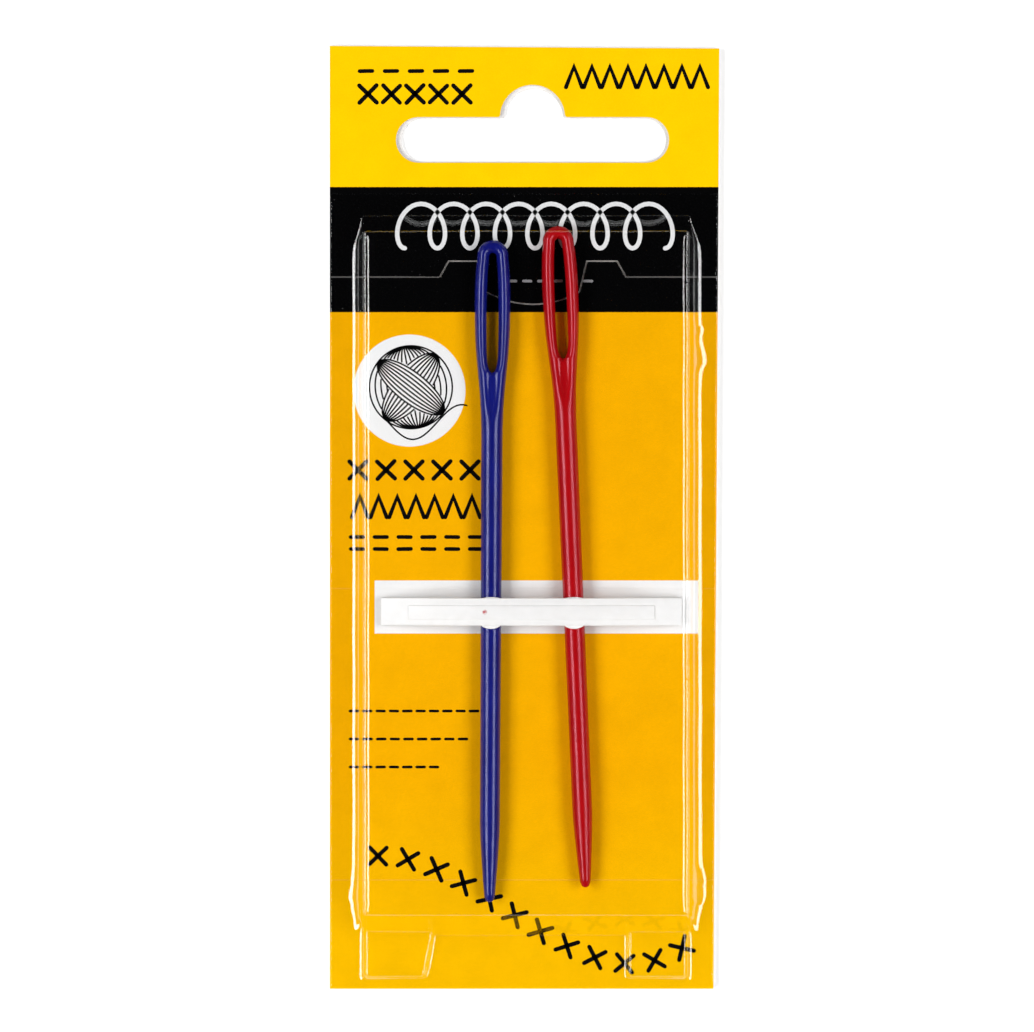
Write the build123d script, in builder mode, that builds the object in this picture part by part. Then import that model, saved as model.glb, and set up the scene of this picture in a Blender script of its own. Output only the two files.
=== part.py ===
from build123d import *
import math
import os

# Carded pack of two plastic yarn needles, lying on its back: +X right, +Y towards the hang slot, +Z up.
# The origin is the middle of the card's back face. All lengths are in millimetres, all angles in degrees.

overrun = 1.0  # how far every cutter runs past what it cuts

# Card: a printed front ply on a plain back ply
card_width = 41.2
card_right_lean = 0.62  # the right edge leans in by this much from head to foot
card_top_fall = 0.28  # the top edge falls by this much from left to right
card_header = 17.68  # board above the blister's dome
card_footer = 5.5  # board below it
back_ply = 0.42
front_ply = 0.42

# Hang slot in the front ply, and the slightly smaller one in the back ply
slot_length = 28.85
slot_width = 4.79
slot_lobe_radius = 3.41
slot_lobe_flare = 0.3
slot_x = 0.84
slot_from_top = 9.95
back_slot_short = 0.85  # how much shorter the back ply's slot is
back_slot_narrow = 0.19
back_slot_lobe_less = 0.29
back_slot_shift = 0.12

# W-shaped lance cut in the front ply: half widths from its middle, and heights from its fold line
lance_x = 0.88
fold_from_top = 24.45
lance_kerf = 0.12
lance_foot_half = 9.83
lance_shoulder_half = 8.9
lance_inner_half = 5.7
lance_neck_half = 4.95
lance_shoulder_rise = 1.68
lance_neck_drop = 1.55
lance_dip_drop = 2.88

# Pressed crease lines in the front ply
crease_width = 0.16
crease_depth = 0.05
middle_crease_from_top = 57.38
foot_crease_from_bottom = 11.52

# Needles
needle_length = 69.85
shaft_radius = 1.06
shaft_end_radius = 0.98
point_radius = 0.46
point_length = 8.2
eye_half_width = 1.86
eye_crown_radius = 1.62
eye_widest_from_top = 6.4
eye_length = 18.3
eye_thickness = 1.8
rim_width = 1.1
rim_sink = 0.14  # how far the rims' feet are sunk into the shaft
web_thickness = 1.0
hole_top = 1.35
hole_bottom = 14.1
hole_bow = 0.85  # how far each side of the hole's outline bows out
rest_gap = 0.03  # between a needle and the card

# Where each needle lies: its top end's place, the gap above it in the dome, and its lean from upright
needle_places = {
    "blue_needle": {"x": -3.34, "head_gap": 2.32, "lean": -0.3},
    "red_needle": {"x": 3.48, "head_gap": 0.82, "lean": 2.42},
}

# Strap over the needles
strap_left_gap = 2.9  # from the strap's ends to the feet of the dome's side walls
strap_right_gap = 1.95
strap_from_dome_head = 42.12
strap_width = 2.87
strap_end_thickness = 0.7
strap_thickness = 0.55
strap_foot = 2.2
strap_play = 0.06  # between a needle and the strap
level_margin = 0.9  # how far the level stretch runs past each needle
panel_height = 0.12
panel_width = 1.49
panel_end_inset = 2.9
panel_shift = -0.1
lip_reach = 0.35  # how far the lip over a needle stands out of the strap's lower and upper edges
lip_back_reach = 0.12
lip_half_width = 1.05
lip_drop = 0.12
glue_thickness = 0.08
glue_inset = 0.25

# Blister: a dome with sloping walls, two low lugs at its foot and a flange
sheet = 0.26
dome_height = 5.3
dome_left_margin = 2.55  # from the card's left edge to the dome
dome_right_margin = 2.05
tip_room = 2.93  # from the lowest needle point to the dome's foot wall
left_slope = 1.43  # how far each wall leans in over the dome's height
right_slope = 1.75
head_slope = 1.7
foot_slope = 2.75
dome_corner = 0.45
pocket_edge_round = 0.4
lug_height = 1.1
lug_length = 4.5
lug_slope = 0.45
lug_inset = 0.9  # from the line of the dome's side wall
lug_corner = 0.8
left_lug_width = 7.6
right_lug_width = 6.9
flange_inset = 0.15
flange_head = 2.6  # flange above the dome
flange_right_lean = 0.1
seal_gap = 0.02  # heat-seal lacquer between flange and card

# Heights, and the card's length: the header, the room that the needles need, and the footer.
# The head and foot walls run from the dome's outer foot line to its inside at needle height.
card_top = back_ply + front_ply
needle_z = card_top + rest_gap + shaft_radius
flange_z = card_top + seal_gap
needle_height_share = (needle_z - flange_z) / dome_height
head_wall = sheet + head_slope * needle_height_share
foot_wall = sheet + foot_slope * needle_height_share
reach_down = max(
    place["head_gap"] + needle_length * math.cos(math.radians(place["lean"]))
    for place in needle_places.values()
)
dome_length = head_wall + reach_down + tip_room + foot_wall
card_length = card_header + dome_length + card_footer
card_head = card_length / 2
dome_head = card_head - card_header
dome_foot = dome_head - dome_length
dome_left = -card_width / 2 + dome_left_margin
dome_right = card_width / 2 - dome_right_margin

os.makedirs("parts", exist_ok=True)


def card_face():
    """The card's four corners: the right edge leans and the top edge falls a little."""
    with BuildSketch() as face:
        with BuildLine():
            Polyline(
                (-card_width / 2, -card_head),
                (card_width / 2 - card_right_lean, -card_head),
                (card_width / 2, card_head - card_top_fall),
                (-card_width / 2, card_head),
                close=True,
            )
        make_face()
    return face.sketch


def hang_slot(length, width, lobe_radius, centre_x):
    """A long slot with a round lobe in the middle of its upper edge."""
    slot_y = card_head - slot_from_top
    lobe_y = slot_y + width / 2
    with BuildSketch() as slot:
        with Locations((centre_x, slot_y)):
            SlotOverall(length, width)
        with Locations((centre_x, lobe_y)):
            Circle(lobe_radius)
        lobe_ends = [Vector(centre_x + lobe_radius, lobe_y), Vector(centre_x - lobe_radius, lobe_y)]
        inner_corners = [
            min(slot.vertices(), key=lambda corner: (Vector(corner) - end).length) for end in lobe_ends
        ]
        fillet(inner_corners, radius=slot_lobe_flare)
    return slot.sketch


# Back ply
with BuildPart() as back_card:
    with BuildSketch():
        add(card_face())
        add(
            hang_slot(
                slot_length - back_slot_short,
                slot_width - back_slot_narrow,
                slot_lobe_radius - back_slot_lobe_less,
                slot_x + back_slot_shift,
            ),
            mode=Mode.SUBTRACT,
        )
    extrude(amount=back_ply)
back_card.part.label = "back_card"

# Front ply, with the lance cut through it and the creases pressed into its face
fold_y = card_head - fold_from_top
crease_rows = [card_head - middle_crease_from_top, -card_head + foot_crease_from_bottom]
lance_steps = [
    (lance_foot_half, 0),
    (lance_shoulder_half, lance_shoulder_rise),
    (lance_inner_half, lance_shoulder_rise),
    (lance_neck_half, -lance_neck_drop),
]
lance_right = [(lance_x + half, fold_y + rise) for half, rise in lance_steps]
lance_left = [(lance_x - half, fold_y + rise) for half, rise in lance_steps]
fold_gap = lance_foot_half + crease_width
with BuildPart() as front_card:
    with BuildSketch(Plane.XY.offset(back_ply)):
        add(card_face())
        add(hang_slot(slot_length, slot_width, slot_lobe_radius, slot_x), mode=Mode.SUBTRACT)
    extrude(amount=front_ply)
    with BuildSketch(Plane.XY.offset(back_ply)):
        with BuildLine():
            Polyline(*lance_left)
            ThreePointArc(lance_left[-1], (lance_x, fold_y - lance_dip_drop), lance_right[-1])
            Polyline(*lance_right)
        trace(line_width=lance_kerf)
    extrude(amount=front_ply, mode=Mode.SUBTRACT)
    with BuildSketch(Plane.XY.offset(card_top - crease_depth)):
        for row in crease_rows:
            with Locations((0, row)):
                Rectangle(card_width + 2 * overrun, crease_width)
        with Locations((lance_x - fold_gap, fold_y)):
            Rectangle(card_width, crease_width, align=(Align.MAX, Align.CENTER))
        with Locations((lance_x + fold_gap, fold_y)):
            Rectangle(card_width, crease_width, align=(Align.MIN, Align.CENTER))
    extrude(amount=crease_depth + overrun, mode=Mode.SUBTRACT)
front_card.part.label = "front_card"

# One needle along Y, its top end at the origin. The middle line of the eye's rims is a crown arc,
# an arc on each side up to the widest place, and a longer one below it.
rim_half = rim_width / 2
line_half = eye_half_width - rim_half
line_crown = eye_crown_radius - rim_half
line_drop = eye_widest_from_top - eye_crown_radius
upper_radius = (line_half**2 + line_drop**2 - line_crown**2) / (2 * (line_half - line_crown))
crown_turn = math.asin(line_drop / (upper_radius - line_crown))
crown_end = (line_crown * math.cos(crown_turn), -eye_crown_radius + line_crown * math.sin(crown_turn))
rim_foot = (shaft_radius - rim_half - rim_sink, -eye_length - rim_half)
hole_middle = -(hole_top + hole_bottom) / 2
tip_turn = point_radius * math.sin(math.pi / 4)
with BuildPart() as needle:
    with BuildLine() as rims:
        lower = TangentArc((line_half, -eye_widest_from_top), rim_foot, tangent=(0, -1))
        upper = TangentArc((line_half, -eye_widest_from_top), crown_end, tangent=(0, 1))
        ThreePointArc(crown_end, (0, -rim_half), (-crown_end[0], crown_end[1]))
        mirror(upper, about=Plane.YZ)
        mirror(lower, about=Plane.YZ)
    with BuildSketch(Plane(origin=lower @ 1, x_dir=(0, 0, 1), z_dir=-(lower % 1))):
        Ellipse(eye_thickness / 2, rim_half)
    sweep(path=rims.wires()[0])
    with BuildSketch(Plane.XY.offset(-web_thickness / 2)):
        with BuildLine():
            add(rims.line)
            Line(rim_foot, (-rim_foot[0], rim_foot[1]))
        make_face()
        with BuildLine():
            ThreePointArc((0, -hole_top), (hole_bow, hole_middle), (0, -hole_bottom))
            ThreePointArc((0, -hole_top), (-hole_bow, hole_middle), (0, -hole_bottom))
        make_face(mode=Mode.SUBTRACT)
    extrude(amount=web_thickness)
    with BuildSketch():
        with BuildLine():
            Polyline(
                (0, -hole_bottom),
                (shaft_radius, -eye_length),
                (shaft_end_radius, -needle_length + point_length),
                (point_radius, -needle_length + point_radius),
            )
            ThreePointArc(
                (point_radius, -needle_length + point_radius),
                (tip_turn, -needle_length + point_radius - tip_turn),
                (0, -needle_length),
            )
            Line((0, -needle_length), (0, -hole_bottom))
        make_face()
    revolve(axis=Axis.Y)

# Each needle in its place
crossings = []
strap_y = dome_head - strap_from_dome_head
for name, place in needle_places.items():
    lean = math.radians(place["lean"])
    top_y = dome_head - head_wall - place["head_gap"]
    lie = Plane(
        origin=(place["x"], top_y, needle_z),
        x_dir=(math.cos(lean), math.sin(lean), 0),
        z_dir=(0, 0, 1),
    )
    laid_needle = needle.part.moved(lie.location)
    laid_needle.label = name
    export_step(laid_needle, f"parts/{name}.step")
    crossings.append(place["x"] + (top_y - strap_y) * math.tan(lean))

# Strap: two feet glued to the card, a slope up from each, and a level stretch over the needles
foot_z = card_top + glue_thickness
end_z = foot_z + strap_end_thickness
level_z = needle_z + shaft_radius + strap_play
level_top = level_z + strap_thickness
strap_left = dome_left + strap_left_gap
strap_right = dome_right - strap_right_gap
level_left = min(crossings) - shaft_radius - level_margin
level_right = max(crossings) + shaft_radius + level_margin
panel_left_z = end_z + (level_top - end_z) * panel_end_inset / (level_left - strap_left)
panel_right_z = end_z + (level_top - end_z) * panel_end_inset / (strap_right - level_right)
panel_line = [
    (strap_left + panel_end_inset, panel_left_z),
    (level_left, level_top),
    (level_right, level_top),
    (strap_right - panel_end_inset, panel_right_z),
]
lower_edge = strap_y - strap_width / 2
upper_edge = strap_y + strap_width / 2
with BuildPart() as needle_strap:
    with BuildSketch(Plane.XZ.offset(-upper_edge)):
        with BuildLine():
            Polyline(
                (strap_left, end_z),
                (level_left, level_top),
                (level_right, level_top),
                (strap_right, end_z),
                (strap_right, foot_z),
                (strap_right - strap_foot, foot_z),
                (level_right, level_z),
                (level_left, level_z),
                (strap_left + strap_foot, foot_z),
                (strap_left, foot_z),
                close=True,
            )
        make_face()
    extrude(amount=strap_width)
    with BuildSketch(Plane.XZ.offset(-strap_y - panel_shift - panel_width / 2)):
        with BuildLine():
            Polyline(
                *[(x, z + panel_height) for x, z in panel_line],
                *[(x, z - panel_height) for x, z in reversed(panel_line)],
                close=True,
            )
        make_face()
    extrude(amount=panel_width)
    with BuildSketch(Plane.XY.offset(level_z)):
        for crossing in crossings:
            lip_left = crossing - lip_half_width
            lip_right = crossing + lip_half_width
            with BuildLine():
                ThreePointArc(
                    (lip_left, lower_edge), (crossing, lower_edge - lip_reach), (lip_right, lower_edge)
                )
                Line((lip_right, lower_edge), (lip_right, upper_edge))
                ThreePointArc(
                    (lip_right, upper_edge), (crossing, upper_edge + lip_back_reach), (lip_left, upper_edge)
                )
                Line((lip_left, upper_edge), (lip_left, lower_edge))
            make_face()
    extrude(amount=strap_thickness - lip_drop)
needle_strap.part.label = "needle_strap"

# Adhesive pads between the strap's feet and the unprinted board
with BuildPart() as strap_glue:
    with BuildSketch(Plane.XY.offset(card_top)):
        with Locations((strap_left + strap_foot / 2, strap_y), (strap_right - strap_foot / 2, strap_y)):
            Rectangle(strap_foot - 2 * glue_inset, strap_width - 2 * glue_inset)
    extrude(amount=glue_thickness)
strap_glue.part.label = "strap_glue"

# Blister: the pockets of one formed sheet, each a box at its foot and how far its walls lean in
lug_foot = dome_foot - lug_length
lug_leans = (lug_slope, lug_slope, lug_slope, lug_slope)
left_lug = (dome_left + lug_inset, dome_left + lug_inset + left_lug_width)
right_lug = (dome_right - lug_inset - right_lug_width, dome_right - lug_inset)
pockets = [
    {
        "x": (dome_left, dome_right),
        "y": (dome_foot, dome_head),
        "leans": (left_slope, right_slope, foot_slope, head_slope),
        "height": dome_height,
        "corner": dome_corner,
    },
    {
        "x": left_lug,
        "y": (lug_foot, dome_foot + dome_corner),
        "leans": lug_leans,
        "height": lug_height,
        "corner": lug_corner,
    },
    {
        "x": right_lug,
        "y": (lug_foot, dome_foot + dome_corner),
        "leans": lug_leans,
        "height": lug_height,
        "corner": lug_corner,
    },
]


def pocket_form(pocket, wall, start):
    """A pocket's solid, drawn in by wall, lofted from the height start to its top."""
    sections = []
    for height in (start, pocket["height"] - wall):
        share = height / pocket["height"]
        left, right, foot, head = (lean * share + wall for lean in pocket["leans"])
        width = pocket["x"][1] - pocket["x"][0] - left - right
        length = pocket["y"][1] - pocket["y"][0] - foot - head
        centre = (pocket["x"][0] + left + width / 2, pocket["y"][0] + foot + length / 2)
        sections.append((height, centre, width, length))
    with BuildPart() as form:
        for height, centre, width, length in sections:
            with BuildSketch(Plane.XY.offset(flange_z + height)):
                with Locations(centre):
                    RectangleRounded(width, length, pocket["corner"] - wall)
        loft(ruled=True)
        top_edges = form.faces().sort_by(Axis.Z)[-1].edges()
        fillet(top_edges, radius=pocket_edge_round - wall)
    return form.part


with BuildPart() as blister_shell:
    with BuildSketch(Plane.XY.offset(flange_z)):
        with BuildLine():
            Polyline(
                (-card_width / 2 + flange_inset, -card_head + flange_inset),
                (card_width / 2 - card_right_lean - flange_inset, -card_head + flange_inset),
                (card_width / 2 - flange_right_lean - flange_inset, dome_head + flange_head),
                (-card_width / 2 + flange_inset, dome_head + flange_head),
                close=True,
            )
        make_face()
    extrude(amount=sheet)
    for pocket in pockets:
        add(pocket_form(pocket, 0, 0))
    for pocket in pockets:
        add(pocket_form(pocket, sheet, -overrun), mode=Mode.SUBTRACT)
blister_shell.part.label = "blister_shell"

for piece in (back_card, front_card, needle_strap, strap_glue, blister_shell):
    export_step(piece.part, f"parts/{piece.part.label}.step")

print("card", round(card_width, 2), "by", round(card_length, 2), "dome", round(dome_length, 2))
print("dome from", round(dome_foot, 3), "to", round(dome_head, 3), "strap at", round(strap_y, 3))
print("needles cross the strap at", [round(x, 3) for x in crossings])
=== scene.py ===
import math

import bmesh
import bpy
import numpy as np
from mathutils import Matrix, Vector


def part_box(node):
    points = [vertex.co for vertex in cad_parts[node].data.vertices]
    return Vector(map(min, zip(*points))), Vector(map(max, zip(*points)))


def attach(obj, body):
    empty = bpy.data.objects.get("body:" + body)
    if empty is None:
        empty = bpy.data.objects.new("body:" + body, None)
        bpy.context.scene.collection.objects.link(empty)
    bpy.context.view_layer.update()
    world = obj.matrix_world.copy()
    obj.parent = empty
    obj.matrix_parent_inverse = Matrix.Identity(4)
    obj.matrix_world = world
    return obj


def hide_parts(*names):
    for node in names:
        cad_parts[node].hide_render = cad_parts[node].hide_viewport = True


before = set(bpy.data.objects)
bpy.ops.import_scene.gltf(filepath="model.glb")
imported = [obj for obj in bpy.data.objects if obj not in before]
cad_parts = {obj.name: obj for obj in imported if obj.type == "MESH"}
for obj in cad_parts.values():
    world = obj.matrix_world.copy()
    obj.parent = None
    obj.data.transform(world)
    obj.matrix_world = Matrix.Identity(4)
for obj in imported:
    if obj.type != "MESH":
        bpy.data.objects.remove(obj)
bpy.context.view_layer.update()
mm = 0.001  # sizes below are in millimetres, Blender is in metres
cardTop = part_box("front_card")[1].z / mm
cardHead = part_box("front_card")[1].y / mm
print("frame loaded, the card's face is at", round(cardTop, 3), "mm")


# Mesh and node helpers


def link(piece):
    bpy.context.scene.collection.objects.link(piece)
    return piece


def shade(mesh, smooth):
    mesh.polygons.foreach_set("use_smooth", [smooth] * len(mesh.polygons))


def coat(mesh, material):
    mesh.materials.clear()
    mesh.materials.append(material)


def takeMesh(holder):
    # the mesh an object comes to with its modifiers, in place of the object
    mesh = bpy.data.meshes.new_from_object(holder.evaluated_get(bpy.context.evaluated_depsgraph_get()))
    bpy.data.objects.remove(holder)
    return mesh


def meshPiece(name, points, faces, material=None, smooth=True, merge=0.0):
    mesh = bpy.data.meshes.new(name)
    mesh.from_pydata([tuple(point) for point in points], [], faces)
    if merge:
        shape = bmesh.new()
        shape.from_mesh(mesh)
        bmesh.ops.remove_doubles(shape, verts=shape.verts, dist=merge)
        bmesh.ops.dissolve_degenerate(shape, edges=shape.edges, dist=merge)
        bmesh.ops.recalc_face_normals(shape, faces=shape.faces)
        shape.to_mesh(mesh)
        shape.free()
    mesh.transform(Matrix.Scale(mm, 4))
    shade(mesh, smooth)
    mesh.update()
    if material:
        mesh.materials.append(material)
    return link(bpy.data.objects.new(name, mesh))


def throughPoints(points, at):
    # a smooth line through a table of (place, value), read at one place
    xs = np.array([p[0] for p in points], float)
    ys = np.array([p[1] for p in points], float)
    slopes = np.gradient(ys, xs)
    slopes[0] = slopes[-1] = 0
    if at <= xs[0]:
        return float(ys[0])
    if at >= xs[-1]:
        return float(ys[-1])
    i = int(np.searchsorted(xs, at, side="right")) - 1
    span = xs[i + 1] - xs[i]
    t = (at - xs[i]) / span
    return float(
        (2 * t**3 - 3 * t**2 + 1) * ys[i]
        + (t**3 - 2 * t**2 + t) * span * slopes[i]
        + (3 * t**2 - 2 * t**3) * ys[i + 1]
        + (t**3 - t**2) * span * slopes[i + 1]
    )


def smoothStep(value):
    value = min(max(value, 0.0), 1.0)
    return value * value * (3 - 2 * value)


def softMin(first, second, reach):
    over = max(reach - abs(first - second), 0.0) / reach
    return min(first, second) - over * over * reach / 4


def startMaterial(name, colour, roughness, **sockets):
    material = bpy.data.materials.new(name)
    material.use_nodes = True
    shader = material.node_tree.nodes["Principled BSDF"]
    shader.inputs["Base Color"].default_value = (*colour, 1)
    shader.inputs["Roughness"].default_value = roughness
    for socket, value in sockets.items():
        shader.inputs[socket.replace("_", " ")].default_value = value
    return material, shader


def addNode(tree, kind, inputs=None, **settings):
    node = tree.nodes.new(kind)
    for key, value in settings.items():
        setattr(node, key, value)
    for key, value in (inputs or {}).items():
        if isinstance(value, bpy.types.NodeSocket):
            tree.links.new(value, node.inputs[key])
        else:
            node.inputs[key].default_value = value
    return node


def calc(tree, operation, *values, clamp=False):
    node = addNode(tree, "ShaderNodeMath", dict(enumerate(values)), operation=operation, use_clamp=clamp)
    return node.outputs[0]


def ramp(tree, value, low, high, start=0.0, end=1.0):
    node = addNode(tree, "ShaderNodeMapRange", {0: value, 1: low, 2: high, 3: start, 4: end})
    return node.outputs[0]


def mixColour(tree, share, first, second):
    node = addNode(tree, "ShaderNodeMix", {0: share, 6: first, 7: second}, data_type="RGBA")
    return node.outputs[2]


def mixFloat(tree, share, first, second):
    return addNode(tree, "ShaderNodeMix", {0: share, 2: first, 3: second}).outputs[0]


def scaleBy(tree, vector, share):
    return addNode(tree, "ShaderNodeVectorMath", {0: vector, "Scale": share}, operation="SCALE").outputs[0]


def flatDistance(tree, place, x, y):
    # how far a place is from (x, y), seen from above
    flat = addNode(tree, "ShaderNodeVectorMath", {0: place, 1: (1, 1, 0)}, operation="MULTIPLY").outputs[0]
    away = addNode(tree, "ShaderNodeVectorMath", {0: flat, 1: (x, y, 0)}, operation="DISTANCE")
    return away.outputs["Value"]


def partPlace(tree):
    # the place on the piece in millimetres
    coordinates = addNode(tree, "ShaderNodeTexCoord")
    return scaleBy(tree, coordinates.outputs["Object"], 1 / mm)


def startPlaced(name, colour, roughness, **sockets):
    material, shader = startMaterial(name, colour, roughness, **sockets)
    tree = material.node_tree
    return material, shader, tree, partPlace(tree)


def noise(tree, place, scale, detail=2.0, rough=0.5, stretch=(1, 1, 1)):
    stretched = addNode(tree, "ShaderNodeMapping", {0: place, "Scale": stretch})
    sizes = {"Vector": stretched.outputs[0], "Scale": scale, "Detail": detail, "Roughness": rough}
    return addNode(tree, "ShaderNodeTexNoise", sizes).outputs[0]


def addBump(tree, shader, height, strength, depth):
    bump = addNode(tree, "ShaderNodeBump", {"Strength": strength, "Distance": depth * mm, "Height": height})
    tree.links.new(bump.outputs[0], shader.inputs["Normal"])


# Camera, straight above, with the photograph's frame

camera = {
    "frameWidth": 109.3,  # what the picture takes in at the card's face
    "height": 500.0,
    "centre": (-0.8, 0.14),
}
lens = bpy.data.cameras.new("camera")
lens.sensor_width = 36
lens.lens = lens.sensor_width * (camera["height"] - cardTop) / camera["frameWidth"]
lens.clip_start = 0.01
viewer = link(bpy.data.objects.new("camera", lens))
viewer.location = (camera["centre"][0] * mm, camera["centre"][1] * mm, camera["height"] * mm)
bpy.context.scene.camera = viewer
bpy.context.scene.view_settings.view_transform = "Standard"
print("camera placed")


# Printed board: yellow head, black band, orange body, a bare white strip and a white disc

board = {
    "headYellow": (0.91, 0.535, 0.0),
    "bodyYellow": (0.98, 0.46, 0.0),
    # painted light: the body's yellow is painted lighter towards the foot, faded in between the two heights
    # below
    "paintedLightFootYellow": (0.98, 0.53, 0.0),
    "paintedLightFade": (-26.0, -46.0),
    "black": (0.0012, 0.0012, 0.0014),
    "white": (0.88, 0.88, 0.88),
    "dust": 0.12,
    "fibre": (0.72, 0.69, 0.66),
    "band": (21.68, 34.92),  # the black band's lower and upper edge
    "whiteStrip": ((-15.85, -12.28), (18.38, -6.68)),
    "disc": (-12.17, 13.4, 5.92),
    "edgeSoftness": 0.03,
    "inkWander": 0.05,  # how far the print's edges stray
}


def printedBoard():
    ground = board["bodyYellow"]
    material, shader, tree, place = startPlaced("printed_board", ground, 0.26, Specular_IOR_Level=0.06)
    grains = {"Vector": place, "Scale": 6.0, "Detail": 2.0, "Roughness": 0.6}
    wobble = addNode(tree, "ShaderNodeTexNoise", grains)
    centred = addNode(tree, "ShaderNodeVectorMath", {0: wobble.outputs["Color"], 1: (-0.5, -0.5, -0.5)})
    offset = scaleBy(tree, centred.outputs[0], board["inkWander"])
    printed = addNode(tree, "ShaderNodeVectorMath", {0: place, 1: offset}).outputs[0]
    split = addNode(tree, "ShaderNodeSeparateXYZ", {0: printed})
    x, y = split.outputs[0], split.outputs[1]
    soft = board["edgeSoftness"]

    def above(value, edge):
        return ramp(tree, value, edge - soft, edge + soft)

    def below(value, edge):
        return ramp(tree, value, edge - soft, edge + soft, 1.0, 0.0)

    def both(*masks):
        result = masks[0]
        for mask in masks[1:]:
            result = calc(tree, "MULTIPLY", result, mask)
        return result

    low, high = board["band"]
    # painted light: the body's yellow grows lighter towards the foot
    paintedLightShare = ramp(tree, y, *board["paintedLightFade"])
    body = mixColour(tree, paintedLightShare, (*board["bodyYellow"], 1), (*board["paintedLightFootYellow"], 1))
    colour = mixColour(tree, above(y, high), body, (*board["headYellow"], 1))
    cloud = ramp(tree, noise(tree, place, 0.35, 3.0), 0.3, 0.7, 0.94, 1.0)
    grain = ramp(tree, noise(tree, place, 9.0, 3.0), 0.3, 0.7, 0.93, 1.0)
    shade = calc(tree, "MULTIPLY", cloud, grain)
    shadeColour = addNode(tree, "ShaderNodeCombineColor", {0: shade, 1: shade, 2: shade}).outputs[0]
    parts = {0: 1.0, 6: colour, 7: shadeColour}
    colour = addNode(tree, "ShaderNodeMix", parts, data_type="RGBA", blend_type="MULTIPLY").outputs[2]
    (left, foot), (right, head) = board["whiteStrip"]
    stripMask = both(above(x, left), below(x, right), above(y, foot), below(y, head))
    middleX, middleY, radius = board["disc"]
    away = flatDistance(tree, printed, middleX, middleY)
    whiteMask = calc(tree, "MAXIMUM", stripMask, below(away, radius))
    colour = mixColour(tree, whiteMask, colour, (*board["white"], 1))
    dust = addNode(tree, "ShaderNodeTexVoronoi", {"Vector": place, "Scale": 1.1})
    chosen = addNode(tree, "ShaderNodeSeparateColor", {0: dust.outputs["Color"]}).outputs[0]
    specks = ramp(tree, dust.outputs["Distance"], 0.03, 0.075, 1.0, 0.0)
    dustMask = both(specks, ramp(tree, chosen, 0.78, 0.8))
    dusty = calc(tree, "MULTIPLY", dustMask, board["dust"])
    bandBlack = mixColour(tree, dusty, (*board["black"], 1), (*board["fibre"], 1))
    colour = mixColour(tree, both(above(y, low), below(y, high)), colour, bandBlack)
    normal = addNode(tree, "ShaderNodeNewGeometry").outputs["Normal"]
    up = addNode(tree, "ShaderNodeSeparateXYZ", {0: normal}).outputs[2]
    cut = ramp(tree, up, 0.95, 0.45)  # bevels and cut edges show the board's own fibre
    fibreShade = ramp(tree, noise(tree, place, 14.0, 3.0, stretch=(1, 1, 3)), 0.3, 0.7, 0.8, 1.05)
    colour = mixColour(tree, cut, colour, scaleBy(tree, board["fibre"], fibreShade))
    tree.links.new(colour, shader.inputs["Base Color"])
    rough = ramp(tree, noise(tree, place, 5.0, 3.0), 0.3, 0.7, 0.2, 0.3)
    tree.links.new(mixFloat(tree, cut, rough, 0.85), shader.inputs["Roughness"])
    addBump(tree, shader, noise(tree, place, 11.0, 4.0, 0.6), 0.25, 0.02)
    return material


def plainBoard():
    material, shader, tree, place = startPlaced("plain_board", (0.76, 0.73, 0.7), 0.8)
    fibres = noise(tree, place, 3.0, 5.0, 0.65, (1, 4, 1))
    flecks = ramp(tree, noise(tree, place, 8.0, 2.0, stretch=(3, 1, 1)), 0.68, 0.76)
    colour = mixColour(tree, ramp(tree, fibres, 0.3, 0.7), (0.68, 0.655, 0.63, 1), (0.8, 0.78, 0.755, 1))
    colour = mixColour(tree, calc(tree, "MULTIPLY", flecks, 0.35), colour, (0.5, 0.46, 0.4, 1))
    tree.links.new(colour, shader.inputs["Base Color"])
    addBump(tree, shader, noise(tree, place, 7.0, 5.0, 0.7, (1, 3, 1)), 0.5, 0.03)
    return material


cardFace = {
    "width": 41.2,
    "rightLean": 0.62,
    "topFall": 0.28,
    "ply": 0.42,
    "bevel": 0.035,
    "slot": {"x": 0.84, "fromTop": 9.95, "length": 28.85, "width": 4.79, "lobe": 3.41, "flare": 0.3},
    "lance": {"x": 0.88, "foldFromTop": 24.45, "kerf": 0.12, "dip": 2.88},
    "lanceSteps": [(9.83, 0.0), (8.9, 1.68), (5.7, 1.68), (4.95, -1.55)],
    "creaseWidth": 0.16,
    "creaseDepth": 0.03,
    "foldDepth": 0.045,
    "creasesFromTop": [57.38],
    "creasesFromFoot": [11.52],
}


def arc(centre, radius, start, end, steps):
    turns = [math.radians(start + (end - start) * i / steps) for i in range(steps + 1)]
    return [(centre[0] + radius * math.cos(t), centre[1] + radius * math.sin(t)) for t in turns]


def slotLoop(slot):
    y = cardHead - slot["fromTop"]
    half = slot["width"] / 2
    reach = slot["length"] / 2 - half
    top = y + half
    flare, lobe = slot["flare"], slot["lobe"]
    flareX = math.sqrt((lobe + flare) ** 2 - flare**2)
    turn = math.degrees(math.asin(flare / (lobe + flare)))
    x = slot["x"]
    loop = arc((x - reach, y), half, 270, 90, 20)
    loop += arc((x - flareX, top + flare), flare, 270, 360 - turn, 5)
    loop += arc((x, top), lobe, 180 - turn, turn, 28)
    loop += arc((x + flareX, top + flare), flare, 180 + turn, 270, 5)
    loop += arc((x + reach, y), half, 90, -90, 20)
    return loop


def offsetPath(path, distance):
    # the path moved sideways, with mitred corners
    points = [Vector(p) for p in path]
    moved = []
    for i, point in enumerate(points):
        before = (point - points[i - 1]).normalized() if i else None
        after = (points[i + 1] - point).normalized() if i < len(points) - 1 else None
        along = ((before or after) + (after or before)).normalized()
        side = Vector((-along.y, along.x))
        lean = side.dot(Vector((-(after or before).y, (after or before).x)))
        moved.append(point + side * distance / max(lean, 0.5))
    return [tuple(p) for p in moved]


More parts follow.
